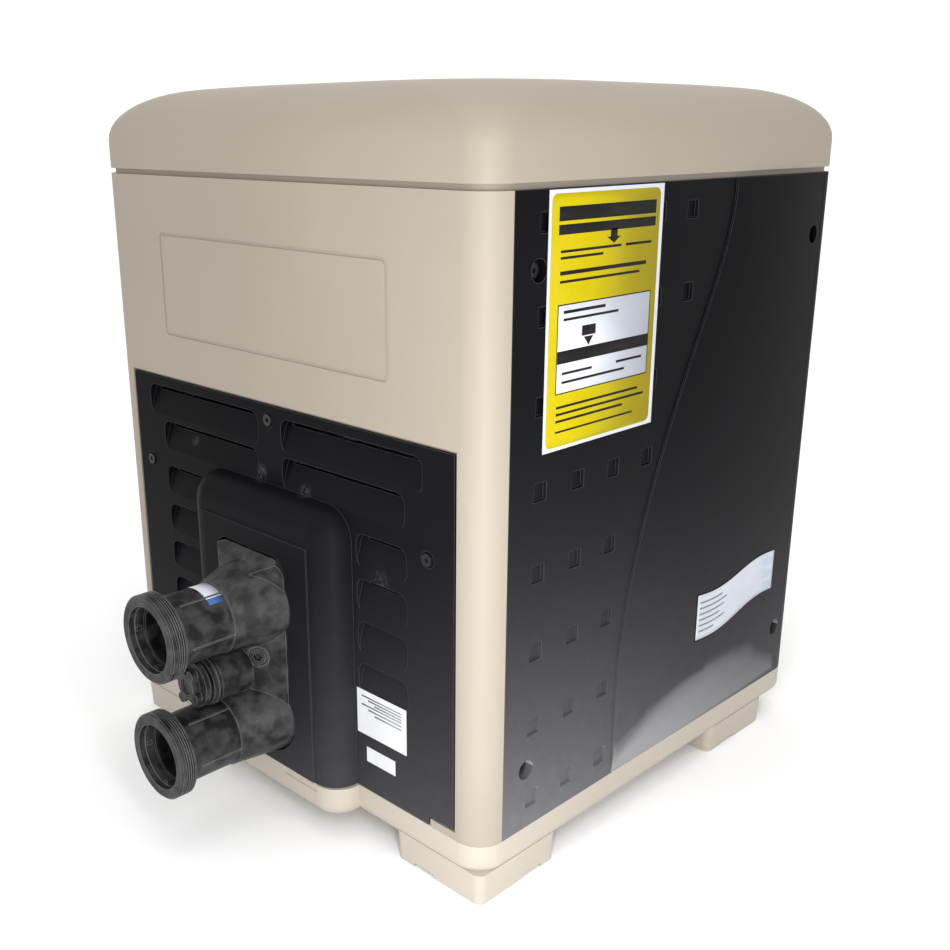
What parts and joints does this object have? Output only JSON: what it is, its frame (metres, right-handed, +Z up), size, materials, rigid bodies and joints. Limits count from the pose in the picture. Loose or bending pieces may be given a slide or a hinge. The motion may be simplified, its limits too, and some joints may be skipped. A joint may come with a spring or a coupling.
{
  "type": "pool and spa heater",
  "caption": "Square pool and spa water heater with rounded lift-off lid, removable doors, louvred side, twin threaded water ports, drain plug, gas burner train and flip-up control panel.",
  "frame": {"origin": "floor level under the middle of the whole object's plan box, ports and gas stub included", "axes": "+Z up; -X the way the two water ports point; -Y the front door's side; +Y the control panel's side"},
  "size_m": [0.6902, 0.545, 0.6865],
  "materials": {
    "tan_plastic": "moulded, faintly textured, warm beige",
    "dark_plastic": "moulded charcoal, satin",
    "manifold_plastic": "glass-filled, mottled dark grey",
    "screw_steel": "black-passivated steel",
    "plain_steel": "galvanised",
    "label_film": "printed film",
    "rubber_seal": "matte",
    "copper_tube": null,
    "tub_metal": "cast, as made",
    "ceramic_part": "unglazed",
    "cast_metal": "die cast",
    "board_green": "solder-masked board",
    "display_glass": "dark display",
    "clear_cover": "smoke-tinted clear plastic",
    "button_plastic": "soft grey",
    "knob_red": "moulded red",
    "brass_part": "turned"
  },
  "bodies": {
    "cabinet": {"air_gas_mixer": "cast_metal", "base": "tan_plastic", "blower_housing": "manifold_plastic", "blower_motor": "cast_metal", "burner_deck": "plain_steel", "bypass_spring": "plain_steel", "combustion_tub": "tub_metal", "control_board": "board_green", "control_box": "dark_plastic", "exhaust_grille": "plain_steel", "exhaust_side_jacket": "tan_plastic", "finned_tubes": "copper_tube", "flame_holder": "plain_steel", "flame_sensor": "ceramic_part", "flue_duct": "plain_steel", "frame_posts": "plain_steel", "gas_inlet_pipe": "plain_steel", "gas_valve": "cast_metal", "header_gasket": "rubber_seal", "high_limit_switch": "dark_plastic", "igniter": "ceramic_part", "ignition_module": "dark_plastic", "junction_box": "dark_plastic", "louvre_panel": "dark_plastic", "louvre_panel_screws": "screw_steel", "manifold_bolts": "plain_steel", "panel_labels": "label_film", "rear_shelf": "plain_steel", "temperature_sensor": "brass_part", "terminal_block": "dark_plastic", "thermal_governor": "brass_part", "top_frame": "tan_plastic", "transformer": "plain_steel", "tub_insulation": "ceramic_part", "tube_sheet": "plain_steel", "water_manifold": "manifold_plastic", "water_pressure_switch": "dark_plastic", "water_side_jacket": "tan_plastic"},
    "front_door": {"front_door": "dark_plastic", "front_door_screws": "screw_steel", "door_label": "label_film"},
    "rear_door": {"rear_door": "dark_plastic", "rear_door_screws": "screw_steel"},
    "lid": {"lid": "tan_plastic", "control_bezel": "dark_plastic", "display_module": "display_glass", "cover_hinge_pin": "plain_steel"},
    "display_cover": {"display_cover": "clear_cover"},
    "blower_rotor": {"blower_impeller": "dark_plastic", "blower_shaft": "plain_steel"},
    "gas_knob": {"gas_valve_knob": "knob_red"},
    "drain_seal": {"drain_plug_o_ring": "rubber_seal"},
    "drain_plug": {"drain_plug": "manifold_plastic"},
    "bypass_valve": {"bypass_valve": "dark_plastic"},
    "button_off": {"button_off": "button_plastic"},
    "button_pool": {"button_pool": "button_plastic"},
    "button_spa": {"button_spa": "button_plastic"},
    "button_menu": {"button_menu": "button_plastic"},
    "button_up": {"button_up": "button_plastic"},
    "button_down": {"button_down": "button_plastic"}
  },
  "joints": [
    {"name": "lid_lift_off", "type": "slide", "parent": "cabinet", "child": "lid", "axis": [0, 0, 1], "range_m": [0, 0.12]},
    {"name": "front_door_removal", "type": "slide", "parent": "cabinet", "child": "front_door", "axis": [0, -1, 0], "range_m": [0, 0.1]},
    {"name": "rear_door_removal", "type": "slide", "parent": "cabinet", "child": "rear_door", "axis": [0, 1, 0], "range_m": [0, 0.1]},
    {"name": "display_cover_hinge", "type": "hinge", "parent": "lid", "child": "display_cover", "pos_m": [0.06187, 0.2485, 0.657], "axis": [1, 0, 0], "range_deg": [0, 100]},
    {"name": "blower_spin", "type": "hinge", "parent": "cabinet", "child": "blower_rotor", "pos_m": [0.08188, 0, 0.4], "axis": [0, 0, 1], "continuous": true},
    {"name": "gas_knob_turn", "type": "hinge", "parent": "cabinet", "child": "gas_knob", "pos_m": [0.22937, -0.148, 0.46], "axis": [0, 0, 1], "range_deg": [0, 90]},
    {"name": "drain_plug_unscrew", "type": "slide", "parent": "cabinet", "child": "drain_seal", "axis": [-1, 0, 0], "range_m": [0, 0.018]},
    {"name": "drain_plug_turn", "type": "hinge", "parent": "drain_seal", "child": "drain_plug", "pos_m": [-0.29413, 0, 0.15825], "axis": [-1, 0, 0], "range_deg": [0, 1080]},
    {"name": "bypass_lift", "type": "slide", "parent": "cabinet", "child": "bypass_valve", "axis": [0, 0, 1], "range_m": [0, 0.006], "stiffness_N_per_m": 300, "springref_m": -0.004, "deforming": ["bypass_spring"]},
    {"name": "button_off_press", "type": "slide", "parent": "lid", "child": "button_off", "axis": [0, -1, 0], "range_m": [0, 0.001], "stiffness_N_per_m": 400, "springref_m": -0.0005},
    {"name": "button_pool_press", "type": "slide", "parent": "lid", "child": "button_pool", "axis": [0, -1, 0], "range_m": [0, 0.001], "stiffness_N_per_m": 400, "springref_m": -0.0005},
    {"name": "button_spa_press", "type": "slide", "parent": "lid", "child": "button_spa", "axis": [0, -1, 0], "range_m": [0, 0.001], "stiffness_N_per_m": 400, "springref_m": -0.0005},
    {"name": "button_menu_press", "type": "slide", "parent": "lid", "child": "button_menu", "axis": [0, -1, 0], "range_m": [0, 0.001], "stiffness_N_per_m": 400, "springref_m": -0.0005},
    {"name": "button_up_press", "type": "slide", "parent": "lid", "child": "button_up", "axis": [0, -1, 0], "range_m": [0, 0.001], "stiffness_N_per_m": 400, "springref_m": -0.0005},
    {"name": "button_down_press", "type": "slide", "parent": "lid", "child": "button_down", "axis": [0, -1, 0], "range_m": [0, 0.001], "stiffness_N_per_m": 400, "springref_m": -0.0005}
  ],
  "couplings": [
    {"joint": "drain_plug_turn", "follows": "drain_plug_unscrew", "rad_per_m": 1047.2}
  ]
}
